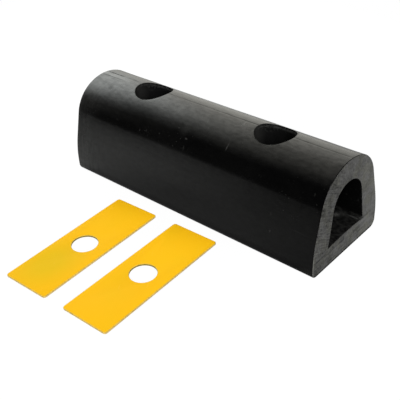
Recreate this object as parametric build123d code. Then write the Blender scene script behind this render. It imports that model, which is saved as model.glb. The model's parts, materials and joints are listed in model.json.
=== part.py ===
from build123d import *
import math
import os

# Rubber bumper with a D section and a bore from end to end, and its two steel fixing plates.
# Millimetres, +Z up, +X along the bumper. The origin is the middle of the bumper's base face.

# Outside of the section
body_length = 300.0
body_width = 102.0
body_height = 95.0
base_corner_radius = 7.0      # rounding of the two long base corners
side_height = 12.0            # top of the upright part of each side
knee_radius = 110.0           # slow curve from the upright side into the flank
flank_lean = 14.5             # degrees that the flank leans in from upright
crown_radius = 46.0
crown_half_angle = 30.0       # degrees of crown on each side of the middle

# Bore
base_thickness = 20.2         # at the bore's lower corners
floor_rise = 1.6              # the bore's floor is a little higher along its middle
bore_width = 55.0             # at the bore's lower corners
bore_lean = 9.5               # degrees that the bore's sides lean in from upright
crown_thickness = 21.5

# Holes for two anchor bolts, drilled from above
hole_pitch = 150.0
first_hole_from_end = 72.5    # from the bumper's -X end
hole_line_offset = 2.0        # the holes sit this far to the +Y side of the crown's middle line
access_hole_diameter = 38.0   # through the crown, for a bolt head and its socket
bolt_hole_diameter = 20.0     # through the base

# Fixing plates, one under each bolt head on the floor of the bore
plate_side_clearance = 2.0    # to the bore's lower corner, each side
plate_end_gap = 7.0           # between the two plates when they are bolted in
plate_thickness = 2.0
plate_hole_diameter = 25.0
plate_corner_radius = 2.5
plate_edge_break = 0.4        # small chamfer round both faces and the hole

# The plates lie flat beside the bumper, taken out of it
plate_turns = (2.6, 2.2)              # degrees about Z
plate_centres_x = (-43.0, 30.4)
plate_distances = (14.4, 10.8)        # from the bumper's side to the plate's near end

plate_width = bore_width - 2 * plate_side_clearance
plate_length = hole_pitch - plate_end_gap
first_hole_x = first_hole_from_end - body_length / 2
hole_xs = (first_hole_x, first_hole_x + hole_pitch)
drill_margin = 5.0            # how far a cutting tool runs past the face that it cuts


def polar(radius, degrees):
    """Return the vector of a length at an angle from the section's horizontal."""
    angle = math.radians(degrees)
    return Vector(radius * math.cos(angle), radius * math.sin(angle))


def body_half_outline():
    """Return the right half of the outside, from the base's middle up to the crown's top."""
    flank_out = polar(1, flank_lean)
    crown_start = 90 - crown_half_angle
    side_foot = Vector(body_width / 2, base_corner_radius)
    side_top = Vector(body_width / 2, side_height)
    knee_centre = side_top - Vector(knee_radius, 0)
    knee_top = knee_centre + polar(knee_radius, flank_lean)
    crown_centre = Vector(0, body_height - crown_radius)

    # The shoulder arc runs on from the crown arc and meets the flank without a corner.
    crown_toward_flank = math.cos(math.radians(crown_start - flank_lean))
    flank_reach = (knee_top - crown_centre).dot(flank_out)
    shoulder_radius = (flank_reach - crown_radius * crown_toward_flank) / (1 - crown_toward_flank)
    shoulder_centre = crown_centre + polar(crown_radius - shoulder_radius, crown_start)
    shoulder_foot = shoulder_centre + polar(shoulder_radius, flank_lean)
    corner_centre = side_foot - Vector(base_corner_radius, 0)

    return [
        Line((0, 0), corner_centre - Vector(0, base_corner_radius)),
        CenterArc(corner_centre, base_corner_radius, -90, 90),
        Line(side_foot, side_top),
        CenterArc(knee_centre, knee_radius, 0, flank_lean),
        Line(knee_top, shoulder_foot),
        CenterArc(shoulder_centre, shoulder_radius, flank_lean, crown_start - flank_lean),
        CenterArc(crown_centre, crown_radius, crown_start, crown_half_angle),
    ]


def bore_half_outline():
    """Return the right half of the bore, from its floor's middle up to its top."""
    lean = math.radians(bore_lean)
    bore_top = body_height - crown_thickness
    corner = Vector(bore_width / 2, base_thickness)
    # The arch touches both leaning sides and the bore's top.
    side_reach = corner.X * math.cos(lean) - (bore_top - base_thickness) * math.sin(lean)
    arch_radius = side_reach / (1 - math.sin(lean))
    arch_centre = Vector(0, bore_top - arch_radius)
    arch_foot = arch_centre + polar(arch_radius, bore_lean)
    # The floor is one shallow arc, so its centre lies far below the base.
    floor_radius = (corner.X ** 2 + floor_rise ** 2) / (2 * floor_rise)
    floor_centre = Vector(0, base_thickness + floor_rise - floor_radius)
    floor_half_angle = math.degrees(math.asin(corner.X / floor_radius))

    return [
        CenterArc(floor_centre, floor_radius, 90, -floor_half_angle),
        Line(corner, arch_foot),
        CenterArc(arch_centre, arch_radius, bore_lean, 90 - bore_lean),
    ]


def section_face(half_outline):
    """Mirror half an outline about the section's upright axis and fill it."""
    half = Curve() + half_outline
    whole = half + mirror(half, Plane.YZ)
    return Plane.YZ * make_face(whole)


def drilled_hole(diameter, x, bottom, top):
    """Return the upright cylinder that a drill cuts between two heights."""
    tool = Cylinder(diameter / 2, top - bottom, align=(Align.CENTER, Align.CENTER, Align.MIN))
    return Pos(x, hole_line_offset, bottom) * tool


def make_bumper():
    """Extrude the section, open the bore and drill the two pairs of holes."""
    body = extrude(section_face(body_half_outline()), body_length / 2, both=True)
    body -= extrude(section_face(bore_half_outline()), body_length / 2 + drill_margin, both=True)
    inside_bore = (base_thickness + body_height - crown_thickness) / 2
    for x in hole_xs:
        body -= drilled_hole(access_hole_diameter, x, inside_bore, body_height + drill_margin)
        body -= drilled_hole(bolt_hole_diameter, x, -drill_margin, inside_bore)
    return body


def make_plate():
    """Return one fixing plate, flat on the ground with its hole over the origin."""
    blank = RectangleRounded(plate_width, plate_length, plate_corner_radius)
    blank -= Circle(plate_hole_diameter / 2)
    plate = extrude(blank, plate_thickness)
    rims = plate.edges().filter_by(Plane.XY)
    return chamfer(rims, plate_edge_break)


def lay_beside(plate, x, distance, turn):
    """Set a plate down in front of the bumper's -Y side, a little turned."""
    y = -(body_width / 2 + distance + plate_length / 2)
    return Pos(x, y, 0) * Rot(0, 0, turn) * plate


os.makedirs("parts", exist_ok=True)
export_step(make_bumper(), "parts/rubber_bumper.step")
fixing_plate = make_plate()
places = zip(plate_centres_x, plate_distances, plate_turns)
for number, (x, distance, turn) in enumerate(places, start=1):
    export_step(lay_beside(fixing_plate, x, distance, turn), f"parts/fixing_plate_{number}.step")
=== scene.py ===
"""A black rubber bumper with a D section, and its two yellow fixing plates, in a white studio."""

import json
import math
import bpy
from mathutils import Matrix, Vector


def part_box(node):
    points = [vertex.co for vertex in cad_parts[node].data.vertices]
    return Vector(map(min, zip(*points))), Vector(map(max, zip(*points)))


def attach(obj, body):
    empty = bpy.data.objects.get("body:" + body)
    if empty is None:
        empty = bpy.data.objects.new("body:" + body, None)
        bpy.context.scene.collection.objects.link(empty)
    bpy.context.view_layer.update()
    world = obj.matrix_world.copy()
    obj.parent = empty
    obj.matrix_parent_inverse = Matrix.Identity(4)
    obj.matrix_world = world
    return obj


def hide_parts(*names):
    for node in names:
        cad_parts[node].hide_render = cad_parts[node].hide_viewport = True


bl_info = {
    "name": "Rubber Bumper",
    "version": (1, 0, 0),
    "blender": (4, 5, 0),
    "location": "3D View > Sidebar > Bumper",
    "description": "Models a D-section rubber bumper, its fixing plates and the studio around them",
    "category": "Add Mesh",
}

import bpy
from bpy.props import FloatProperty, FloatVectorProperty, IntProperty, PointerProperty
from mathutils import Matrix, Vector, noise

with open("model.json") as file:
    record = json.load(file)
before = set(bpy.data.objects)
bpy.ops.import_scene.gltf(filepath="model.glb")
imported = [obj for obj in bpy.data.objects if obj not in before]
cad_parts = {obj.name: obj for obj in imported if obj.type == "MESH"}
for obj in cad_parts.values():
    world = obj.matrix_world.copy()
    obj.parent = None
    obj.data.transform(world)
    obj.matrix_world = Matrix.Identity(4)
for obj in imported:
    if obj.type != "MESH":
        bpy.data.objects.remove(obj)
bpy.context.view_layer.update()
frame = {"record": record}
body_low, body_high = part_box("rubber_bumper")
plate_low, plate_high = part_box("fixing_plate_1")
mounts = {mount["name"]: mount for mount in frame["record"]["mounts"]}

MM = 0.001

# Edges sharper than the first angle get a rounding, and those sharper than the second stay sharp.
ROUNDED_ANGLE = math.radians(50)
SHARP_ANGLE = math.radians(35)

# Straight sides that make up a circle.
HOLE_SIDES = 96
FLOOR_SIDES = 128

# The finishes of the bumper and of a plate, in the order of their material slots.
SKIN, SAWN, BORE, DRILLED = range(4)
FACE, EDGE, HOLE, RIM = range(4)


def hole_radius(mount_name, size_name="r_mm"):
    """Return the radius in metres that the record states for a mount's holes."""
    return mounts[mount_name]["dims"][size_name] * MM


def length_setting(name, description, default):
    """Return a panel setting for a length in metres."""
    return FloatProperty(name=name, description=description, default=default, unit="LENGTH")


def angle_setting(name, description, degrees):
    """Return a panel setting for an angle."""
    return FloatProperty(name=name, description=description, default=math.radians(degrees), subtype="ANGLE")


def share_setting(name, description, default):
    """Return a panel setting for a value from 0 to 1."""
    return FloatProperty(name=name, description=description, default=default, min=0.0, max=1.0)


def colour_setting(name, description, default):
    """Return a panel setting for a colour."""
    return FloatVectorProperty(
        name=name,
        description=description,
        size=3,
        default=default,
        subtype="COLOR",
        min=0.0,
        max=1.0,
    )


class BumperSizes(bpy.types.PropertyGroup):
    """Sizes of the bumper's section, bore and holes."""

    length: length_setting("Length", "From sawn end to sawn end", body_high.x - body_low.x)
    width: length_setting("Width", "Across the base", body_high.y - body_low.y)
    height: length_setting("Height", "From the base to the top of the crown", body_high.z - body_low.z)
    corner_radius: length_setting("Corner radius", "Rounding of the two long base corners", 7.0 * MM)
    side_height: length_setting("Side height", "Top of the upright part of each side", 12.0 * MM)
    knee_radius: length_setting("Knee radius", "Slow curve from the upright side into the flank", 110.0 * MM)
    flank_lean: angle_setting("Flank lean", "How far each flank leans in from upright", 14.5)
    crown_radius: length_setting("Crown radius", "Radius of the top of the section", 46.0 * MM)
    crown_half_angle: angle_setting("Crown half angle", "Reach of its arc to each side", 30.0)
    base_thickness: length_setting("Base thickness", "Rubber under the bore's lower corners", 20.2 * MM)
    floor_rise: length_setting("Floor rise", "Extra height of the bore's floor in its middle", 1.6 * MM)
    bore_width: length_setting("Bore width", "Between the bore's lower corners", 55.0 * MM)
    bore_lean: angle_setting("Bore lean", "How far the bore's sides lean in from upright", 9.5)
    crown_thickness: length_setting("Crown thickness", "Rubber over the bore", 21.5 * MM)
    access_radius: length_setting(
        "Access hole radius",
        "Hole through the crown, for a bolt head and its socket",
        hole_radius("access_hole_1"),
    )
    bolt_radius: length_setting(
        "Bolt hole radius",
        "Hole through the base",
        hole_radius("base_holes", "hole_r_mm"),
    )
    rim_width: length_setting("Rim width", "Small rounding of the sawn edges", 0.5 * MM)
    hole_rim_width: length_setting("Hole rim width", "Small rounding of the drilled edges", 0.3 * MM)
    die_line_depth: length_setting("Die line depth", "Of the fine lines along the skin", 0.04 * MM)
    groove_offset: length_setting("Groove offset", "Of the die's one deeper line, to +Y", 3.0 * MM)
    groove_depth: length_setting("Groove depth", "Depth of the die's one deeper line", 0.2 * MM)
    rings: IntProperty(
        name="Rings",
        description="Divisions along the length that let the skin wave",
        default=60,
        min=1,
    )
    wave_depth: length_setting("Wave depth", "Depth of the slow unevenness of the skin", 0.25 * MM)


class PlateSizes(bpy.types.PropertyGroup):
    """Sizes of the two fixing plates."""

    length: length_setting("Length", "Of one plate", 143.0 * MM)
    width: length_setting("Width", "Of one plate", 51.0 * MM)
    thickness: length_setting("Thickness", "With its paint", plate_high.z - plate_low.z)
    hole_radius: length_setting("Hole radius", "Of the bolt hole", hole_radius("plate_1_hole"))
    corner_radius: length_setting("Corner radius", "Rounding of the four corners", 2.5 * MM)
    edge_round: length_setting("Edge round", "How far the paint rounds the plate's edges", 0.4 * MM)
    turns: FloatVectorProperty(
        name="Turns",
        description="How far each plate is turned about its hole",
        size=2,
        default=(math.radians(2.6), math.radians(2.2)),
        subtype="EULER",
    )


class StudioSettings(bpy.types.PropertyGroup):
    """Camera and light."""

    camera_place: FloatVectorProperty(
        name="Camera place",
        description="Where the camera stands",
        default=(0.39776, -0.43972, 0.40002),
        subtype="TRANSLATION",
        unit="LENGTH",
    )
    camera_yaw: angle_setting("Camera yaw", "Turn about the upright, from looking along +Y", 43.714)
    camera_dip: angle_setting("Camera dip", "How far the view looks down", 34.378)
    camera_roll: angle_setting("Camera roll", "Turn of the camera about its own view", -3.935)
    lens: FloatProperty(name="Lens", description="Focal length in millimetres", default=63.786)
    floor_radius: length_setting("Floor radius", "Reach of the white floor", 0.53)
    floor_shift: length_setting("Floor shift", "Place of the floor's middle along the bumper", -0.20)
    floor_whiteness: share_setting("Floor whiteness", "How far the camera misses its shadows", 0.9)
    room_brightness: share_setting("Room brightness", "For everything but the camera", 0.045)


class RubberFinish(bpy.types.PropertyGroup):
    """Colours and gloss of the rubber."""

    skin_colour: colour_setting("Skin colour", "Of the extruded skin", (0.0008, 0.0008, 0.0008))
    sawn_colour: colour_setting("Sawn colour", "Of the matt sawn ends", (0.107, 0.107, 0.102))
    cut_colour: colour_setting("Cut colour", "Of the walls of the drilled holes", (0.007, 0.007, 0.007))
    dust_colour: colour_setting("Dust colour", "Of dust and light scratches", (0.09, 0.09, 0.085))
    skin_roughness: share_setting("Skin roughness", "Of the skin, before its own variation", 0.13)
    skin_gloss: share_setting("Skin gloss", "Of the skin, before its own variation", 0.30)


class PlateFinish(bpy.types.PropertyGroup):
    """Colours of the painted plates."""

    paint_colour: colour_setting("Paint colour", "Of the faces", (0.930, 0.500, 0.006))
    # Also the colour of the painted shade patch on the first plate.
    shade_colour: colour_setting("Shade colour", "Where the paint lies thinner", (0.720, 0.500, 0.005))
    # Painted light: the edges' paint is lighter than the faces' so that the sheared edges look lit; the
    # scratches take it too.
    edge_colour: colour_setting("Edge colour", "Of the thin paint on the edges", (1.00, 0.70, 0.22))
    # Painted shade: the holes' paint is made dark for the shade inside them.
    hole_shade_colour: colour_setting("Hole colour", "Of the thin paint in the holes", (0.30, 0.22, 0.03))
    rim_colour: colour_setting("Rim colour", "Of the rubbed paint on rounded edges", (0.80, 0.56, 0.11))


def in_metres(values):
    """Return millimetres as metres."""
    return [value * MM for value in values]


def add_node(tree, kind, inputs=None, **settings):
    """Add a shader node, set its own settings, and set or link its inputs."""
    node = tree.nodes.new(kind)
    for name, value in settings.items():
        setattr(node, name, value)
    for socket, value in (inputs or {}).items():
        if isinstance(value, bpy.types.NodeSocket):
            tree.links.new(value, node.inputs[socket])
        else:
            node.inputs[socket].default_value = value
    return node


def own_place(tree):
    """Return the place in the piece's own frame, in metres."""
    return add_node(tree, "ShaderNodeTexCoord").outputs["Object"]


def own_axes(tree):
    """Return the place in the piece's own frame as X, Y and Z."""
    return add_node(tree, "ShaderNodeSeparateXYZ", {0: own_place(tree)}).outputs


def grain(tree, frequencies, detail=2.0, turn=(0, 0, 0), start=(0, 0, 0)):
    """Return noise from 0 to 1 in the piece's own place, with its frequency per metre on each axis."""
    turned = add_node(tree, "ShaderNodeMapping", {"Vector": own_place(tree), "Rotation": turn})
    settled = add_node(
        tree,
        "ShaderNodeMapping",
        {"Vector": turned.outputs["Vector"], "Scale": frequencies, "Location": start},
    )
    inputs = {"Vector": settled.outputs["Vector"], "Scale": 1.0, "Detail": detail}
    return add_node(tree, "ShaderNodeTexNoise", inputs).outputs["Fac"]


def ranged(tree, value, low, high, to_low=0.0, to_high=1.0, shape="LINEAR"):
    """Return a value stretched from one range to another and held inside it."""
    inputs = {"Value": value, "From Min": low, "From Max": high, "To Min": to_low, "To Max": to_high}
    return add_node(tree, "ShaderNodeMapRange", inputs, interpolation_type=shape).outputs["Result"]


def along(tree, axis, start, end, at_start=0.0, at_end=1.0):
    """Return a value that runs between two places on an axis, which are given in millimetres."""
    return ranged(tree, axis, start * MM, end * MM, at_start, at_end)


def combined(tree, operation, first, *others):
    """Return values combined one after another by one operation."""
    for other in others:
        first = add_node(tree, "ShaderNodeMath", {0: first, 1: other}, operation=operation).outputs[0]
    return first


def product(tree, *values):
    """Return values multiplied together."""
    return combined(tree, "MULTIPLY", *values)


def total(tree, *values):
    """Return values added together."""
    return combined(tree, "ADD", *values)


def highest(tree, *values):
    """Return the highest of some values."""
    return combined(tree, "MAXIMUM", *values)


def rest_of(tree, share):
    """Return what a share leaves of 1."""
    return combined(tree, "SUBTRACT", 1.0, share)


def blended(tree, share, first, second):
    """Return one colour laid over another by a share from 0 to 1."""
    inputs = {0: share}
    for socket, value in ((6, first), (7, second)):
        inputs[socket] = value if isinstance(value, bpy.types.NodeSocket) else (*value, 1.0)
    return add_node(tree, "ShaderNodeMix", inputs, data_type="RGBA").outputs[2]


def length_of(tree, vector):
    """Return the length of a vector."""
    return add_node(tree, "ShaderNodeVectorMath", {0: vector}, operation="LENGTH").outputs["Value"]


def relative_distance(tree, place, middle, reach):
    """Return how far a place is from a middle, where 1 is the reach on each axis."""
    inverse = [1 / length for length in reach]
    away = [-part / length for part, length in zip(middle, reach)]
    scaled = add_node(tree, "ShaderNodeMapping", {"Vector": place, "Scale": inverse, "Location": away})
    return length_of(tree, scaled.outputs["Vector"])


def near(tree, middle, reach):
    """Return 1 round a place, falling to 0 at the reach on each axis, both in millimetres."""
    full_within = 0.3
    distance = relative_distance(tree, own_place(tree), in_metres(middle), in_metres(reach))
    return ranged(tree, distance, 1.0, full_within)


def new_finish(name, roughness, specular):
    """Return a material, its node tree and its shader."""
    material = bpy.data.materials.new(name)
    material.use_nodes = True
    tree = material.node_tree
    shader = tree.nodes["Principled BSDF"]
    shader.inputs["Roughness"].default_value = roughness
    shader.inputs["Specular IOR Level"].default_value = specular
    return material, tree, shader


def surface(tree, shader, base_colour, *layers):
    """Give a finish its colour, and a relief of patterns that each have a depth in millimetres."""
    tree.links.new(base_colour, shader.inputs["Base Color"])
    normal = None
    for pattern, depth in layers:
        inputs = {"Height": pattern, "Distance": depth * MM, "Strength": 1.0}
        if normal is not None:
            inputs["Normal"] = normal
        normal = add_node(tree, "ShaderNodeBump", inputs).outputs["Normal"]
    tree.links.new(normal, shader.inputs["Normal"])


# Most of a noise pattern lies between these values.
NOISE_SPAN = (0.35, 0.65)

# Scuffs on the skin: place and reach in millimetres, and how much dust they hold.
SCUFFS = (
    ((-2.5, -34.0, 79.3), (2.0, 1.3, 1.3), 0.39),
    ((-2.5, -38.7, 71.4), (0.9, 3.5, 3.5), 0.2),
    ((-8.0, -28.4, 85.0), (6.0, 9.0, 9.0), 0.08),
    ((43.0, -29.4, 84.2), (0.9, 5.0, 5.0), 0.33),
    ((41.0, -2.4, 94.9), (0.7, 4.5, 2.0), 1),
    ((1.7, 4.0, 94.8), (1.0, 1.0, 1.0), 1),
    ((-81.7, -47.1, 41.0), (4.0, 4.0, 4.0), 0.07),
    ((103.0, -45.7, 46.5), (0.9, 2.5, 2.5), 0.13),
    ((104.5, -49.3, 31.0), (0.9, 2.0, 2.0), 0.26),
    ((133.0, -47.1, 41.0), (11.0, 0.7, 0.7), 0.08),
    ((140.0, -36.2, 76.1), (0.9, 2.0, 2.0), 0.15),
    ((147.0, -50.5, 6.0), (12.0, 4.0, 6.0), 0.18),
    ((-60.0, -38.5, 72.0), (0.9, 1.6, 1.6), 0.26),
    ((-51.7, -37.6, 73.8), (0.9, 1.6, 1.6), 0.26),
    ((-92.5, -37.9, 73.2), (1.6, 1.0, 1.0), 0.16),
    ((-35.0, -36.6, 75.5), (1.2, 1.2, 1.2), 0.16),
    ((-78.0, -22.3, 89.2), (4.0, 3.0, 3.0), 0.1),
)

# Lines along the crown that hold less light, the die's deeper line first: place across, start and
# end in millimetres, and strength.
STREAKS = (
    (3.0, -110.0, 160.0, 0.8),
    (5.4, -170.0, -90.0, 1.0),
    (-2.0, -170.0, -112.0, 0.8),
)

# Rubbed, shinier skin by the -X end, a strip along the crown and a patch beside it: place and
# reach in millimetres, and how much.
POLISHED = (
    ((-146.0, 1.0, 95.0), (40.0, 4.0, 6.0), 0.20),
    ((-150.0, -22.3, 89.2), (35.0, 12.0, 12.0), 0.28),
)

# A duller patch of skin below the hole by the -X end: place and reach, and the gloss it keeps.
DULLED = ((-67.0, -26.5, 87.0), (32.0, 12.0, 11.0))
DULLED_GLOSS = 0.62

# Painted light on the bore's floor by the +X end, where light falls in through the open end, laid in the
# dust colour: place and reach in millimetres, and how much.
BORE_FLOOR_LIGHT = (
    ((129.3, 17.0, 21.0), (5.0, 5.5, 3.0), 1.0),
    ((131.5, 21.5, 21.0), (9.0, 7.0, 3.0), 0.35),
    ((144.0, 23.6, 21.0), (10.0, 1.9, 2.0), 0.9),
    ((149.0, 26.3, 21.0), (3.0, 2.5, 2.0), 0.8),
)

# Painted light on the drilled walls' -X sides, which face the light, in the dust colour: places and reach in
# millimetres, and how much.
LIT_WALL_PLACES = ((-97.0, -6.0, 86.0), (53.0, -6.0, 86.0))
LIT_WALL_REACH = (16.0, 18.0, 30.0)
LIT_WALL_SHARE = 0.32

# Painted shade on the outer half of the first plate, in the colour of thinner paint: place and reach, and
# how much.
PLATE_SHADE_PATCH = ((-48.0, -175.0, 2.0), (32.0, 42.0, 20.0))
PLATE_SHADE_PATCH_SHARE = 0.6


def skin_dust(tree, pores):
    """Return how much dust the skin holds: specks and scratches in patches, and the scuffs."""
    strength = 0.4
    specks = ranged(tree, grain(tree, (600, 600, 600), detail=1.0), 0.73, 0.80, 0.0, strength)
    patches = ranged(tree, grain(tree, (22, 22, 22), start=(3, 1, 7)), 0.50, 0.62)
    scratch_lines = grain(tree, (90, 2600, 2600), detail=1.0, turn=(0.9, 1.1, 0.4))
    scratches = product(tree, ranged(tree, scratch_lines, 0.76, 0.82), strength)
    dust = product(tree, highest(tree, specks, scratches), patches)
    broken = ranged(tree, pores, 0.35, 0.60, 0.3, 1.0)
    for middle, reach, held in SCUFFS:
        dust = highest(tree, dust, product(tree, near(tree, middle, reach), broken, held))
    return dust


def crown_streaks(tree, axes, sizes):
    """Return how far the fine dark lines along the crown take its gloss away."""
    faint_at, full_at = 0.9, 0.4
    fade_length = 20.0
    streaks = 0.0
    for across, start, end, strength in STREAKS:
        offset = combined(tree, "SUBTRACT", axes["Y"], across * MM)
        distance = add_node(tree, "ShaderNodeMath", {0: offset}, operation="ABSOLUTE").outputs[0]
        line = product(
            tree,
            along(tree, distance, faint_at, full_at, 0.0, strength),
            along(tree, axes["X"], start, start + fade_length),
            along(tree, axes["X"], end, end - fade_length),
        )
        streaks = highest(tree, streaks, line)
    uneven = ranged(tree, grain(tree, (35, 1, 1)), 0.35, 0.60, 0.4, 1.0)
    on_crown = combined(tree, "GREATER_THAN", axes["Z"], sizes.height / 2)
    return product(tree, streaks, product(tree, uneven, on_crown))


def skin_gloss(tree, axes, finish, sizes):
    """Return the skin's gloss: mottled, streaked along the crown, brighter by the -X end."""
    mottle = ranged(tree, grain(tree, (160, 330, 330), detail=4.0), 0.30, 0.70, -0.5, 0.5)
    mottle_depth = along(tree, axes["Z"], 50, 80, 0.06, 0.16)
    near_base = along(tree, axes["Z"], 3, 13, 0.35, 1.0)
    near_end = along(tree, axes["X"], -120, -150, 1.0, 1.35)
    gloss = product(
        tree,
        total(tree, finish.skin_gloss, product(tree, mottle, mottle_depth)),
        rest_of(tree, crown_streaks(tree, axes, sizes)),
        near_base,
        near_end,
    )
    brush_marks = grain(tree, (420, 60, 60), detail=3.0, turn=(0, 0, 0.25))
    brushed = ranged(tree, brush_marks, *NOISE_SPAN, -0.06, 0.06)
    brushed_end = along(tree, axes["X"], -100, -135)
    gloss = total(tree, gloss, product(tree, brushed, brushed_end))
    for middle, reach, strength in POLISHED:
        gloss = total(tree, gloss, product(tree, near(tree, middle, reach), strength))
    return product(tree, gloss, ranged(tree, near(tree, *DULLED), 0.0, 1.0, 1.0, DULLED_GLOSS))


def rubber_skin(finish, sizes):
    """Satin extruded skin: fine lines along it, a dull bloom, dust specks and a few scuffs."""
    material, tree, shader = new_finish("rubber_skin", finish.skin_roughness, finish.skin_gloss)
    axes = own_axes(tree)
    fine_lines = grain(tree, (4, 1100, 1100), detail=3.0)
    broad_lines = grain(tree, (1.5, 160, 160))
    bloom = grain(tree, (14, 30, 30), detail=4.0)
    pores = grain(tree, (1500, 1500, 1500))

    dust = skin_dust(tree, pores)
    bloom_share = ranged(tree, bloom, 0.40, 0.70, 0.0, 0.012)
    bloomed = blended(tree, bloom_share, finish.skin_colour, finish.dust_colour)
    dusty = blended(tree, dust, bloomed, finish.dust_colour)
    surface(tree, shader, dusty, (broad_lines, 0.02), (fine_lines, 0.004), (pores, 0.003))
    tree.links.new(skin_gloss(tree, axes, finish, sizes), shader.inputs["Specular IOR Level"])

    dull = product(tree, ranged(tree, bloom, *NOISE_SPAN), 0.05)
    lined = product(tree, ranged(tree, broad_lines, *NOISE_SPAN), 0.04)
    worn_end = along(tree, axes["X"], -115, -150, 0.0, 0.14)
    dulled_by_dust = product(tree, dust, 0.3)
    rough = total(tree, dull, lined, finish.skin_roughness, worn_end, dulled_by_dust)
    tree.links.new(rough, shader.inputs["Roughness"])
    return material


def sawn_rubber(finish):
    """Matt grey sawn end: mottled, saw marks across the width, paler towards its +Y side, with a painted
    highlight and painted shade along its edges.
    """
    material, tree, shader = new_finish("sawn_rubber", roughness=0.8, specular=0.25)
    axes = own_axes(tree)
    marks = grain(tree, (60, 60, 700), detail=3.0)
    broad_marks = grain(tree, (60, 20, 240))
    steep_marks = grain(tree, (60, 70, 800), turn=(math.radians(27), 0, 0))
    patches = grain(tree, (130, 130, 130), detail=4.0)
    crumbs = grain(tree, (480, 480, 480), detail=3.0)
    tints = grain(tree, (110, 110, 110), detail=1.0)
    brighter, darker = 2.25, 0.30
    warm_tint, cool_tint = (1.01, 1.01, 0.95), (0.99, 0.99, 1.01)
    warm = [value * brighter * tint for value, tint in zip(finish.sawn_colour, warm_tint)]
    cool = [value * brighter * tint for value, tint in zip(finish.sawn_colour, cool_tint)]
    light = blended(tree, ranged(tree, tints, 0.42, 0.58), warm, cool)
    dark = [value * darker for value in finish.sawn_colour]

    # The saw ran straight across the base, and turned as it went up through the -Y side.
    in_base = along(tree, axes["Z"], 26, 18)
    in_side = product(tree, along(tree, axes["Y"], 0, -20), rest_of(tree, in_base))
    share = along(tree, axes["Y"], -20, 50, 0.47, 0.89)
    layers = (
        (marks, 0.26, in_base),
        (broad_marks, 0.30, in_base),
        (steep_marks, 0.42, in_side),
        (patches, 0.32, 1.0),
        (crumbs, 0.34, 1.0),
    )
    for layer, weight, region in layers:
        change = ranged(tree, layer, *NOISE_SPAN, -weight / 2, weight / 2)
        share = total(tree, share, product(tree, change, region))
    # Along the lower -Y corner's edge: a painted highlight, broken up into lighter crumbs.
    crumbly_edge_highlight = product(
        tree,
        along(tree, axes["Y"], -48.0, -50.2),
        along(tree, axes["Z"], 36, 20),
        ranged(tree, crumbs, 0.30, 0.60, 0.4, 1.0),
    )
    share = total(tree, share, crumbly_edge_highlight)
    # Painted shade: darker along the lowest edge, where the end meets the floor, and up the foot of the +Y
    # side.
    painted_edge_shade = highest(tree, along(tree, axes["Z"], 2.8, 1.6), along(tree, axes["Y"], 48.8, 49.9))
    share = product(tree, share, ranged(tree, painted_edge_shade, 0.0, 1.0, 1.0, -0.1))
    mottled = blended(tree, share, dark, light)
    surface(tree, shader, mottled, (broad_marks, 0.10), (marks, 0.06), (crumbs, 0.06))
    return material


def bore_rubber(finish):
    """Dull skin inside the bore, with specks of saw dust, a dusty strip on its floor, and painted light on
    that floor by the +X end.
    """
    material, tree, shader = new_finish("bore_rubber", roughness=0.5, specular=0.2)
    lines = grain(tree, (5, 700, 700), detail=3.0)
    specks = ranged(tree, grain(tree, (420, 420, 420)), 0.60, 0.74, 0.0, 0.3)
    patches = ranged(tree, grain(tree, (30, 30, 30)), 0.42, 0.62)
    share = product(tree, specks, patches)
    smear_marks = grain(tree, (300, 520, 520), detail=3.0, turn=(0, 0, 0.5))
    smears = ranged(tree, smear_marks, 0.35, 0.60, 0.35, 1.0)
    # Painted pools of light on the floor, broken up into smears.
    for middle, reach, strength in BORE_FLOOR_LIGHT:
        lit_patch = product(tree, near(tree, middle, reach), smears, strength)
        share = highest(tree, share, lit_patch)
    on_floor = along(tree, own_axes(tree)["Z"], 24, 22)
    speckled = ranged(tree, grain(tree, (260, 420, 420), detail=3.0), 0.40, 0.65, 0.02, 0.20)
    share = highest(tree, share, product(tree, on_floor, speckled))
    dusty = blended(tree, share, finish.skin_colour, finish.dust_colour)
    surface(tree, shader, dusty, (lines, 0.05))
    return material


def torn_lip(tree, axes, sizes):
    """Return where the drill tore a lip of rubber just below the crown's skin."""
    rise = combined(tree, "SUBTRACT", axes["Z"], sizes.height - sizes.crown_radius)
    outward = add_node(tree, "ShaderNodeCombineXYZ", {"Y": axes["Y"], "Z": rise}).outputs["Vector"]
    depth = combined(tree, "SUBTRACT", sizes.crown_radius, length_of(tree, outward))
    ragged = ranged(tree, grain(tree, (260, 260, 500), detail=3.0), 0.38, 0.62, 0.1, 0.5)
    return product(tree, along(tree, depth, 1.2, 1.8), along(tree, depth, 3.8, 3.0), ragged)


def drilled_rubber(finish, sizes):
    """Cut wall of a drilled hole, with fine rings round it, torn specks below its rim, and painted light on
    its -X side.
    """
    material, tree, shader = new_finish("drilled_rubber", roughness=0.55, specular=0.10)
    axes = own_axes(tree)
    rings = grain(tree, (60, 60, 1600))
    smears = grain(tree, (120, 120, 60), detail=3.0)
    darker = 0.6
    dark = [value * darker for value in finish.cut_colour]
    smeared = blended(tree, ranged(tree, smears, 0.35, 0.7), dark, finish.cut_colour)
    torn = ranged(tree, grain(tree, (500, 500, 500), detail=3.0), 0.50, 0.68)
    by_rim = ranged(tree, axes["Z"], sizes.height - 12 * MM, sizes.height - 4 * MM, 0.0, 0.5)
    share = product(tree, torn, by_rim)
    # Painted light on the -X sides of the walls, in the dust colour.
    for middle in LIT_WALL_PLACES:
        dusty = product(tree, near(tree, middle, LIT_WALL_REACH), LIT_WALL_SHARE)
        share = highest(tree, share, dusty)
    share = highest(tree, share, torn_lip(tree, axes, sizes))
    specked = blended(tree, share, smeared, finish.dust_colour)
    surface(tree, shader, specked, (rings, 0.05))
    return material


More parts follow.
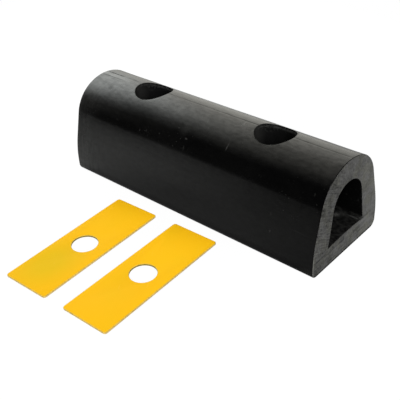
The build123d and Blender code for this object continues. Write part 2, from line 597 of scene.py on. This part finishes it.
def plate_paint(finish):
    """Satin paint on the plates' faces, slightly mottled, with a few fine scratches and a patch of painted
    shade.
    """
    material, tree, shader = new_finish("plate_paint", roughness=0.6, specular=0.04)
    mottle = ranged(tree, grain(tree, (26, 26, 26), detail=4.0), 0.45, 0.75, 0.0, 0.15)
    peel = grain(tree, (520, 520, 520))
    scratch_lines = grain(tree, (60, 2400, 2400), detail=1.0, turn=(0, 0, 0.9))
    scratches = ranged(tree, scratch_lines, 0.74, 0.80)
    # The random mottle of thinner paint, and the patch of painted shade.
    thin = highest(tree, product(tree, near(tree, *PLATE_SHADE_PATCH), PLATE_SHADE_PATCH_SHARE), mottle)
    mottled = blended(tree, thin, finish.paint_colour, finish.shade_colour)
    scratched = blended(tree, product(tree, scratches, 0.25), mottled, finish.edge_colour)
    surface(tree, shader, scratched, (peel, 0.02))
    return material


def plate_edge_paint(name, paint):
    """Thinner, streaky paint on the sheared edges, in the punched hole or on the rubbed rims; the edges'
    light colour is painted light, and the hole's dark colour painted shade.
    """
    material, tree, shader = new_finish(name, roughness=0.65, specular=0.1)
    streaks = grain(tree, (700, 700, 90), detail=3.0)
    darker = 0.7
    dark = [value * darker for value in paint]
    streaked = blended(tree, ranged(tree, streaks, *NOISE_SPAN), paint, dark)
    surface(tree, shader, streaked, (streaks, 0.05))
    return material


def rubber_finishes(finish, sizes):
    """Return the bumper's four finishes, in the order of its material slots."""
    return (
        rubber_skin(finish, sizes),
        sawn_rubber(finish),
        bore_rubber(finish),
        drilled_rubber(finish, sizes),
    )


def plate_finishes(finish):
    """Return the plates' four finishes, in the order of their material slots."""
    return (
        plate_paint(finish),
        # The sheared edges' light paint is painted light.
        plate_edge_paint("plate_edge_paint", finish.edge_colour),
        # The hole's dark paint is painted shade.
        plate_edge_paint("plate_hole_shade", finish.hole_shade_colour),
        plate_edge_paint("plate_rim_paint", finish.rim_colour),
    )


def section_points(sizes):
    """Return the centres and turning points that the section's arcs and lines run between."""
    lean = sizes.flank_lean
    flank_out = Vector((math.cos(lean), math.sin(lean)))
    side_foot = Vector((sizes.width / 2, sizes.corner_radius))
    side_top = Vector((sizes.width / 2, sizes.side_height))
    knee_centre = side_top - Vector((sizes.knee_radius, 0))
    knee_top = knee_centre + sizes.knee_radius * flank_out
    crown_centre = Vector((0, sizes.height - sizes.crown_radius))
    crown_start = math.pi / 2 - sizes.crown_half_angle
    crown_out = Vector((math.cos(crown_start), math.sin(crown_start)))
    # The shoulder arc runs on from the crown arc and meets the flank without a corner.
    flank_reach = (knee_top - crown_centre).dot(flank_out)
    crown_toward_flank = crown_out.dot(flank_out)
    shoulder_radius = (flank_reach - sizes.crown_radius * crown_toward_flank) / (1 - crown_toward_flank)
    shoulder_centre = crown_centre + (sizes.crown_radius - shoulder_radius) * crown_out
    return {
        "corner_centre": side_foot - Vector((sizes.corner_radius, 0)),
        "knee_centre": knee_centre,
        "knee_top": knee_top,
        "shoulder_centre": shoulder_centre,
        "shoulder_foot": shoulder_centre + shoulder_radius * flank_out,
        "shoulder_angle": crown_start - lean,
        "crown_centre": crown_centre,
    }


def by_bore(sizes, across, up):
    """Tell whether a place in the section is inside the bore or on its wall."""
    margin = MM
    beside = abs(across) < sizes.bore_width / 2 + margin
    bore_top = sizes.height - sizes.crown_thickness
    return beside and sizes.base_thickness - margin < up < bore_top + margin


def deselect_objects():
    """Leave nothing selected, so that an operator acts on the new piece alone."""
    if bpy.context.object and bpy.context.object.mode != "OBJECT":
        bpy.ops.object.mode_set(mode="OBJECT")
    bpy.ops.object.select_all(action="DESELECT")


def select_piece(piece):
    """Select one piece alone and make it the active one."""
    deselect_objects()
    piece.select_set(True)
    bpy.context.view_layer.objects.active = piece


def new_piece(name):
    """Add an empty mesh object at the origin and start editing it."""
    deselect_objects()
    bpy.ops.mesh.primitive_plane_add(size=MM)
    piece = bpy.context.object
    piece.name = name
    piece.data.name = name
    bpy.ops.object.mode_set(mode="EDIT")
    bpy.ops.mesh.delete(type="VERT")
    return piece


def start_line(x, y, z):
    """In edit mode, add a single selected vertex to draw a line on from."""
    bpy.ops.mesh.select_all(action="DESELECT")
    bpy.ops.mesh.primitive_plane_add(size=MM)
    bpy.ops.mesh.merge(type="CENTER")
    bpy.ops.transform.translate(value=(x, y, z))


def draw_straight(reach, steps):
    """Draw on from the selected vertex in equal steps, in the section's plane."""
    step = (0, reach.x / steps, reach.y / steps)
    for _ in range(steps):
        bpy.ops.mesh.extrude_region_move(TRANSFORM_OT_translate={"value": step})


def draw_arc(x, centre, angle, steps):
    """Draw on from the selected vertex round a centre in the section's plane."""
    bpy.ops.mesh.spin(steps=steps, angle=-angle, center=(x, centre.x, centre.y), axis=(1, 0, 0))


def draw_body_outline(sizes, x):
    """Draw the +Y half of the outside, from the base's middle up to the crown's top."""
    points = section_points(sizes)
    start_line(x, 0, 0)
    draw_straight(points["corner_centre"] - Vector((0, sizes.corner_radius)), steps=8)
    draw_arc(x, points["corner_centre"], math.pi / 2, steps=8)
    draw_straight(Vector((0, sizes.side_height - sizes.corner_radius)), steps=2)
    draw_arc(x, points["knee_centre"], sizes.flank_lean, steps=12)
    draw_straight(points["shoulder_foot"] - points["knee_top"], steps=8)
    draw_arc(x, points["shoulder_centre"], points["shoulder_angle"], steps=24)
    draw_arc(x, points["crown_centre"], sizes.crown_half_angle, steps=24)


def draw_bore_outline(sizes, x):
    """Draw the +Y half of the bore, from its floor's middle up to its top."""
    lean = sizes.bore_lean
    bore_top = sizes.height - sizes.crown_thickness
    corner = Vector((sizes.bore_width / 2, sizes.base_thickness))
    # The arch touches both leaning sides and the bore's top.
    side_reach = corner.x * math.cos(lean) - (bore_top - corner.y) * math.sin(lean)
    arch_radius = side_reach / (1 - math.sin(lean))
    arch_centre = Vector((0, bore_top - arch_radius))
    arch_foot = arch_centre + arch_radius * Vector((math.cos(lean), math.sin(lean)))
    # The floor is one shallow arc, so its centre lies far below the base.
    floor_radius = (corner.x**2 + sizes.floor_rise**2) / (2 * sizes.floor_rise)
    floor_middle = sizes.base_thickness + sizes.floor_rise
    floor_centre = Vector((0, floor_middle - floor_radius))
    start_line(x, 0, floor_middle)
    draw_arc(x, floor_centre, -math.asin(corner.x / floor_radius), steps=12)
    draw_straight(arch_foot - corner, steps=10)
    draw_arc(x, arch_centre, math.pi / 2 - lean, steps=24)


def mirror_across_width(piece):
    """Copy the half that is drawn to the -Y side and join the two halves."""
    modifier = piece.modifiers.new("Mirror", "MIRROR")
    modifier.use_axis = (False, True, False)
    modifier.merge_threshold = 0.01 * MM
    bpy.ops.object.modifier_apply(modifier=modifier.name)


def select_vertices(piece, wanted):
    """In edit mode, select the vertices whose place passes a test, and what they span."""
    bpy.ops.mesh.select_mode(type="VERT")
    bpy.ops.mesh.select_all(action="DESELECT")
    bpy.ops.object.mode_set(mode="OBJECT")
    for vertex in piece.data.vertices:
        vertex.select = wanted(vertex.co)
    bpy.ops.object.mode_set(mode="EDIT")


def select_edges(piece, wanted):
    """In edit mode, select the edges whose two ends pass a test."""
    bpy.ops.mesh.select_mode(type="EDGE")
    bpy.ops.mesh.select_all(action="DESELECT")
    bpy.ops.object.mode_set(mode="OBJECT")
    vertices = piece.data.vertices
    for edge in piece.data.edges:
        first, second = edge.vertices
        edge.select = wanted(vertices[first].co, vertices[second].co)
    bpy.ops.object.mode_set(mode="EDIT")


def round_sharp_edges(width, segments, finish_slot=-1):
    """In edit mode, round every sharp edge, and give the rounding a finish of its own where one is named."""
    bpy.ops.mesh.select_all(action="DESELECT")
    bpy.ops.mesh.select_mode(type="EDGE")
    bpy.ops.mesh.edges_select_sharp(sharpness=ROUNDED_ANGLE)
    bpy.ops.mesh.bevel(offset=width, segments=segments, material=finish_slot)


def recalculate_normals():
    """In edit mode, turn every face outwards."""
    bpy.ops.mesh.select_all(action="SELECT")
    bpy.ops.mesh.normals_make_consistent(inside=False)


def add_cutter(name, radius, low, high, place, finish):
    """Add an upright cylinder that a boolean will take away, with the finish that it leaves."""
    bpy.ops.mesh.primitive_cylinder_add(
        vertices=HOLE_SIDES,
        radius=radius,
        depth=high - low,
        location=(place[0], place[1], (low + high) / 2),
    )
    cutter = bpy.context.object
    cutter.name = name
    cutter.data.materials.append(finish)
    return cutter


def cut_away(piece, cutter):
    """Take the cutter's shape out of the piece and remove the cutter."""
    select_piece(piece)
    modifier = piece.modifiers.new("Cut", "BOOLEAN")
    modifier.object = cutter
    modifier.operation = "DIFFERENCE"
    modifier.solver = "EXACT"
    modifier.material_mode = "TRANSFER"
    bpy.ops.object.modifier_apply(modifier=modifier.name)
    bpy.data.objects.remove(cutter)


def press_die_lines(body, sizes):
    """Move the drawn outline's points a little inward, so that fine lines run along the skin."""
    crown_centre = section_points(sizes)["crown_centre"]
    lines_per_metre = 900
    groove_reach = 0.5 * MM
    for vertex in body.data.vertices:
        place = Vector((vertex.co.y, vertex.co.z))
        if by_bore(sizes, place.x, place.y) or place.y < sizes.side_height:
            continue
        pattern = noise.noise(Vector((place.x, place.y, 0)) * lines_per_metre)
        depth = sizes.die_line_depth * (0.5 + 0.5 * pattern)
        on_crown = place.y > sizes.height / 2
        if on_crown and abs(place.x - sizes.groove_offset) < groove_reach:
            depth += sizes.groove_depth
        inward = (crown_centre - place).normalized() * depth
        vertex.co += Vector((0, inward.x, inward.y))


def let_skin_wave(body, sizes):
    """Push the skin in by slow, shallow waves that fade out at the base and at the sawn ends."""
    end_fade = 12 * MM
    base_fade = 20 * MM
    wave_length = 60 * MM
    skin = body.vertex_groups.new(name="skin")
    for vertex in body.data.vertices:
        place = vertex.co
        if by_bore(sizes, place.y, place.z):
            continue
        from_end = (sizes.length / 2 - abs(place.x)) / end_fade
        from_base = (place.z - sizes.corner_radius) / base_fade
        weight = max(0.0, min(1.0, from_end, from_base))
        skin.add([vertex.index], weight, "REPLACE")
    waves = bpy.data.textures.new("skin_waves", "CLOUDS")
    waves.noise_scale = wave_length
    waves.noise_depth = 1
    modifier = body.modifiers.new("Waves", "DISPLACE")
    modifier.texture = waves
    modifier.texture_coords = "LOCAL"
    modifier.vertex_group = skin.name
    modifier.mid_level = 1.0
    modifier.strength = sizes.wave_depth
    bpy.ops.object.modifier_apply(modifier=modifier.name)


def extrude_section(body, sizes):
    """Fill the section, extrude it to the bumper's length and divide it along that length."""
    bpy.ops.object.mode_set(mode="EDIT")
    bpy.ops.mesh.select_all(action="SELECT")
    bpy.ops.mesh.bridge_edge_loops()
    bpy.ops.mesh.select_all(action="SELECT")
    bpy.ops.mesh.extrude_region_move(TRANSFORM_OT_translate={"value": (sizes.length, 0, 0)})
    recalculate_normals()
    round_sharp_edges(sizes.rim_width, segments=2)
    select_edges(body, lambda first, second: abs(first.x - second.x) > sizes.length / 2)
    bpy.ops.mesh.subdivide(number_cuts=sizes.rings)
    bpy.ops.object.mode_set(mode="OBJECT")


def finish_rubber(body, sizes, finishes):
    """Give the sawn ends and the bore their own finishes, and the rest the skin's."""
    for finish in finishes:
        body.data.materials.append(finish)
    square_to_length = 0.99
    for polygon in body.data.polygons:
        middle = polygon.center
        if abs(polygon.normal.x) > square_to_length:
            polygon.material_index = SAWN
        elif by_bore(sizes, middle.y, middle.z):
            polygon.material_index = BORE
        else:
            polygon.material_index = SKIN


def round_hole_rims(body, sizes, place, radius):
    """Round the edges where an upright hole opens in the skin and in the bore."""
    wall_tolerance = 0.02 * MM
    shortest_rim_step = 0.35 * MM
    clear_reach = 0.8 * MM
    shortest_span = 0.05 * MM

    def from_axis(point):
        return math.hypot(point.x - place[0], point.y - place[1])

    def on_wall(point):
        return abs(from_axis(point) - radius) < wall_tolerance

    def just_outside(point):
        return wall_tolerance < from_axis(point) - radius < clear_reach

    def on_rim(first, second):
        span = math.hypot(first.x - second.x, first.y - second.y)
        return on_wall(first) and on_wall(second) and span > shortest_span

    # Points too close together along the rim or beside it would pinch the rounding.
    select_vertices(body, on_wall)
    bpy.ops.mesh.remove_doubles(threshold=shortest_rim_step)
    select_vertices(body, just_outside)
    bpy.ops.mesh.remove_doubles(threshold=clear_reach, use_unselected=True)
    select_edges(body, on_rim)
    bpy.ops.mesh.bevel(offset=sizes.hole_rim_width, segments=2, clamp_overlap=False, loop_slide=False)
    body.active_material_index = DRILLED
    bpy.ops.object.material_slot_assign()


def drill_holes(body, sizes, finish):
    """Drill each access hole through the crown and the bolt hole below it through the base."""
    margin = 5 * MM
    in_bore = (sizes.base_thickness + sizes.height - sizes.crown_thickness) / 2
    places = [mounts[name]["pos_m"] for name in ("access_hole_1", "access_hole_2")]
    for place in places:
        top = sizes.height + margin
        cut_away(body, add_cutter("drill", sizes.access_radius, in_bore, top, place, finish))
        cut_away(body, add_cutter("drill", sizes.bolt_radius, -margin, in_bore, place, finish))
    bpy.ops.object.mode_set(mode="EDIT")
    for place in places:
        round_hole_rims(body, sizes, place, sizes.access_radius)
        round_hole_rims(body, sizes, place, sizes.bolt_radius)
    bpy.ops.object.mode_set(mode="OBJECT")


class BUMPER_OT_body(bpy.types.Operator):
    """Model the rubber bumper: draw its section, extrude it, and drill its holes"""

    bl_idname = "bumper.body"
    bl_label = "Bumper Body"
    bl_options = {"REGISTER", "UNDO"}

    def execute(self, context):
        sizes = context.scene.bumper_sizes
        x_end = -sizes.length / 2
        body = new_piece("bumper_body")
        draw_body_outline(sizes, x_end)
        draw_bore_outline(sizes, x_end)
        bpy.ops.object.mode_set(mode="OBJECT")
        mirror_across_width(body)
        press_die_lines(body, sizes)
        extrude_section(body, sizes)
        let_skin_wave(body, sizes)
        finishes = rubber_finishes(context.scene.rubber_finish, sizes)
        finish_rubber(body, sizes, finishes)
        drill_holes(body, sizes, finishes[DRILLED])

        bpy.ops.object.shade_smooth_by_angle(angle=SHARP_ANGLE)
        bpy.ops.object.modifier_add(type="WEIGHTED_NORMAL")
        modifier = body.modifiers[-1]
        modifier.keep_sharp = True
        bpy.ops.object.modifier_apply(modifier=modifier.name)
        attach(body, "root")
        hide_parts("rubber_bumper")
        return {"FINISHED"}


def shear_plate(name, sizes):
    """Add one plate with its middle at the origin, extruded from a rectangle with rounded corners."""
    plate = new_piece(name)
    bpy.ops.mesh.primitive_plane_add(size=1)
    bpy.ops.transform.resize(value=(sizes.width, sizes.length, 1))
    bpy.ops.mesh.bevel(offset=sizes.corner_radius, segments=6, affect="VERTICES")
    bpy.ops.mesh.select_all(action="SELECT")
    bpy.ops.mesh.extrude_region_move(TRANSFORM_OT_translate={"value": (0, 0, sizes.thickness)})
    recalculate_normals()
    bpy.ops.object.mode_set(mode="OBJECT")
    return plate


class BUMPER_OT_plates(bpy.types.Operator):
    """Model one fixing plate and lay it and its copy beside the bumper"""

    bl_idname = "bumper.plates"
    bl_label = "Fixing Plates"
    bl_options = {"REGISTER", "UNDO"}

    def execute(self, context):
        sizes = context.scene.plate_sizes
        finishes = plate_finishes(context.scene.plate_finish)
        plate = shear_plate("plate_1", sizes)
        for finish in finishes:
            plate.data.materials.append(finish)
        for polygon in plate.data.polygons:
            lies_flat = abs(polygon.normal.z) > 0.5
            polygon.material_index = FACE if lies_flat else EDGE
        margin = MM
        top = sizes.thickness + margin
        cut_away(plate, add_cutter("punch", sizes.hole_radius, -margin, top, (0, 0), finishes[HOLE]))
        bpy.ops.object.mode_set(mode="EDIT")
        round_sharp_edges(sizes.edge_round, segments=3, finish_slot=RIM)
        bpy.ops.object.mode_set(mode="OBJECT")
        bpy.ops.object.shade_smooth_by_angle(angle=SHARP_ANGLE)
        bpy.ops.object.duplicate()
        second = context.object
        second.name = "plate_2"
        second.data.name = "plate_2"

        for number, piece in enumerate((plate, second), start=1):
            place = mounts[f"plate_{number}_hole"]["pos_m"]
            select_piece(piece)
            piece.location = (place[0], place[1], 0)
            piece.rotation_euler = (0, 0, sizes.turns[number - 1])
            bpy.ops.object.transform_apply(location=True, rotation=True, scale=True)
            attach(piece, "root")
            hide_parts(f"fixing_plate_{number}")
            # The rubber and the floor show no trace of the plates.
            piece.visible_glossy = False
            piece.visible_diffuse = False
            piece.visible_shadow = False
        return {"FINISHED"}


# Soft lights in the room's walls: direction, reach on each axis, share of full core, colour.
GLOWS = (
    ((-0.763, 0.233, 0.603), (0.20, 0.79, 1.11), 0.00, (4.08, 4.34, 4.32)),
    ((-0.896, 0.396, 0.198), (1.60, 1.10, 0.69), 0.80, (0.70, 0.69, 0.64)),
    ((-0.513, 0.498, 0.700), (0.36, 1.15, 1.24), 0.22, (1.12, 1.10, 0.99)),
)

# The lamp that lights everything: name, place and aim in metres, width and height, brightness.
MAIN_LAMP = ("lamp", (1.30, -1.25, 1.45), (0, 0, 0.05), (1.40, 2.00), 5.2)

# Lamps for the plates alone: one where the bumper takes the room's light from them, and one
# for their sheared edges.
PLATE_LAMPS = (
    ("fill", (0.0, -0.04, 0.12), (0.0, -0.07, 0.0), (0.30, 0.06), 1.25),
    ("edge_lamp", (0.35, -0.80, 0.16), (0.0, -0.15, 0.0), (0.50, 0.12), 4.0),
)

WHITE = (1, 1, 1)

# Painted shade on the floor: it is lighter towards -X and greyer towards +X, where the bumper shades it, and
# nearly black at its rim, where the light falls away.
FLOOR_PALE = (0.95, 0.95, 0.95)
FLOOR_SHADED_GREY = (0.46, 0.46, 0.46)
FLOOR_RIM_SHADE = (0.02, 0.02, 0.02)

# Strength at which the camera sees the floor as white.
FLOOR_GLOW = 1.07

# Width in millimetres of the picture that the lens is stated for.
SENSOR_WIDTH = 36


def add_softbox(name, place, aim, size, radiance):
    """Add a rectangular area lamp that faces a point, at a given brightness."""
    bpy.ops.object.light_add(type="AREA", location=place)
    lamp = bpy.context.object
    lamp.name = name
    lamp.data.shape = "RECTANGLE"
    lamp.data.size = size[0]
    lamp.data.size_y = size[1]
    lamp.data.energy = radiance * math.pi * size[0] * size[1]
    lamp.rotation_euler = (Vector(aim) - Vector(place)).to_track_quat("-Z", "Y").to_euler()
    return lamp


def light_alone(lamp, pieces):
    """Let a lamp light the given pieces and nothing else."""
    receivers = bpy.data.collections.new(lamp.name + "_receivers")
    for piece in pieces:
        receivers.objects.link(piece)
    lamp.light_linking.receiver_collection = receivers


def floor_finish(whiteness, reach):
    """Return a white floor that the camera sees nearly free of shadow, and that fades out at its rim."""
    material, tree, shader = new_finish("studio_floor", roughness=0.8, specular=0.0)
    axes = own_axes(tree)
    fade_start = reach * 0.48
    fade = ranged(tree, length_of(tree, own_place(tree)), fade_start, reach)
    # Painted shade: greyer towards +X and nearly black towards the rim.
    floor_shading = blended(tree, along(tree, axes["X"], -70, 150), FLOOR_PALE, FLOOR_SHADED_GREY)
    tree.links.new(blended(tree, fade, floor_shading, FLOOR_RIM_SHADE), shader.inputs["Base Color"])

    glow = add_node(tree, "ShaderNodeEmission", {"Strength": FLOOR_GLOW})
    seen = add_node(tree, "ShaderNodeLightPath").outputs["Is Camera Ray"]
    share = product(tree, seen, ranged(tree, fade, 0.0, 1.0, whiteness, 1.0))
    # Behind the bumper the floor also glows a little to the rubber.
    beyond = along(tree, axes["Y"], 70, 110, 0.0, 0.4)
    beyond = product(tree, beyond, ranged(tree, fade, 0.0, 1.0, 1.0, 0.0))
    share = highest(tree, share, beyond)
    both = add_node(tree, "ShaderNodeMixShader", {0: share, 1: shader.outputs[0], 2: glow.outputs[0]})
    tree.links.new(both.outputs[0], tree.nodes["Material Output"].inputs["Surface"])
    return material


def light_room(scene, brightness):
    """Make the room white to the camera, and dim with a few soft lights to everything else."""
    world = bpy.data.worlds.new("studio_room")
    world.use_nodes = True
    scene.world = world
    tree = world.node_tree
    direction = add_node(tree, "ShaderNodeTexCoord").outputs["Generated"]
    light = (brightness, brightness, brightness)
    for middle, reach, core, glow_colour in GLOWS:
        distance = relative_distance(tree, direction, middle, reach)
        share = ranged(tree, distance, 1.0, core, shape="SMOOTHSTEP")
        glow = add_node(tree, "ShaderNodeVectorMath", {0: glow_colour, "Scale": share}, operation="SCALE")
        both = add_node(tree, "ShaderNodeVectorMath", {0: glow.outputs["Vector"], 1: light}, operation="ADD")
        light = both.outputs["Vector"]
    seen = add_node(tree, "ShaderNodeLightPath").outputs["Is Camera Ray"]
    tree.links.new(blended(tree, seen, light, WHITE), tree.nodes["Background"].inputs["Color"])


def add_camera(settings):
    """Add the camera at its place, turned by its yaw, dip and roll."""
    bpy.ops.object.camera_add(location=settings.camera_place)
    camera = bpy.context.object
    turn = Matrix.Rotation(settings.camera_yaw, 3, "Z")
    turn @= Matrix.Rotation(math.pi / 2 - settings.camera_dip, 3, "X")
    turn @= Matrix.Rotation(settings.camera_roll, 3, "Z")
    camera.rotation_euler = turn.to_euler()
    camera.data.lens = settings.lens
    camera.data.sensor_width = SENSOR_WIDTH
    return camera


class BUMPER_OT_studio(bpy.types.Operator):
    """Set up the floor, the lights and the camera"""

    bl_idname = "bumper.studio"
    bl_label = "Studio"
    bl_options = {"REGISTER", "UNDO"}

    def execute(self, context):
        scene = context.scene
        settings = scene.studio_settings
        deselect_objects()
        bpy.ops.mesh.primitive_circle_add(
            vertices=FLOOR_SIDES,
            radius=settings.floor_radius,
            fill_type="NGON",
            location=(settings.floor_shift, 0, 0),
        )
        floor = context.object
        floor.name = "studio_floor"
        floor.data.materials.append(floor_finish(settings.floor_whiteness, settings.floor_radius))
        light_room(scene, settings.room_brightness)
        add_softbox(*MAIN_LAMP)
        plates = [scene.objects[name] for name in ("plate_1", "plate_2")]
        for lamp in PLATE_LAMPS:
            light_alone(add_softbox(*lamp), plates)
        scene.camera = add_camera(settings)
        scene.view_settings.view_transform = "Standard"
        return {"FINISHED"}


class BUMPER_PT_panel(bpy.types.Panel):
    """Buttons for the bumper, its plates and the studio"""

    bl_idname = "BUMPER_PT_panel"
    bl_label = "Rubber Bumper"
    bl_space_type = "VIEW_3D"
    bl_region_type = "UI"
    bl_category = "Bumper"

    def draw(self, context):
        scene = context.scene
        layout = self.layout
        groups = (
            ("bumper.body", (scene.bumper_sizes, scene.rubber_finish)),
            ("bumper.plates", (scene.plate_sizes, scene.plate_finish)),
            ("bumper.studio", (scene.studio_settings,)),
        )
        for operator, settings in groups:
            box = layout.box()
            for group in settings:
                for name in group.__annotations__:
                    box.prop(group, name)
            box.operator(operator)


classes = (
    BumperSizes,
    RubberFinish,
    PlateSizes,
    PlateFinish,
    StudioSettings,
    BUMPER_OT_body,
    BUMPER_OT_plates,
    BUMPER_OT_studio,
    BUMPER_PT_panel,
)


def register():
    """Register the classes and give the scene their settings."""
    for cls in classes:
        bpy.utils.register_class(cls)
    bpy.types.Scene.bumper_sizes = PointerProperty(type=BumperSizes)
    bpy.types.Scene.rubber_finish = PointerProperty(type=RubberFinish)
    bpy.types.Scene.plate_sizes = PointerProperty(type=PlateSizes)
    bpy.types.Scene.plate_finish = PointerProperty(type=PlateFinish)
    bpy.types.Scene.studio_settings = PointerProperty(type=StudioSettings)


def unregister():
    """Take the settings and the classes away again."""
    del bpy.types.Scene.studio_settings
    del bpy.types.Scene.plate_finish
    del bpy.types.Scene.plate_sizes
    del bpy.types.Scene.rubber_finish
    del bpy.types.Scene.bumper_sizes
    for cls in reversed(classes):
        bpy.utils.unregister_class(cls)


def main():
    """Model every piece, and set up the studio."""
    register()
    bpy.ops.bumper.body()
    bpy.ops.bumper.plates()
    bpy.ops.bumper.studio()


if __name__ == "__main__":
    main()
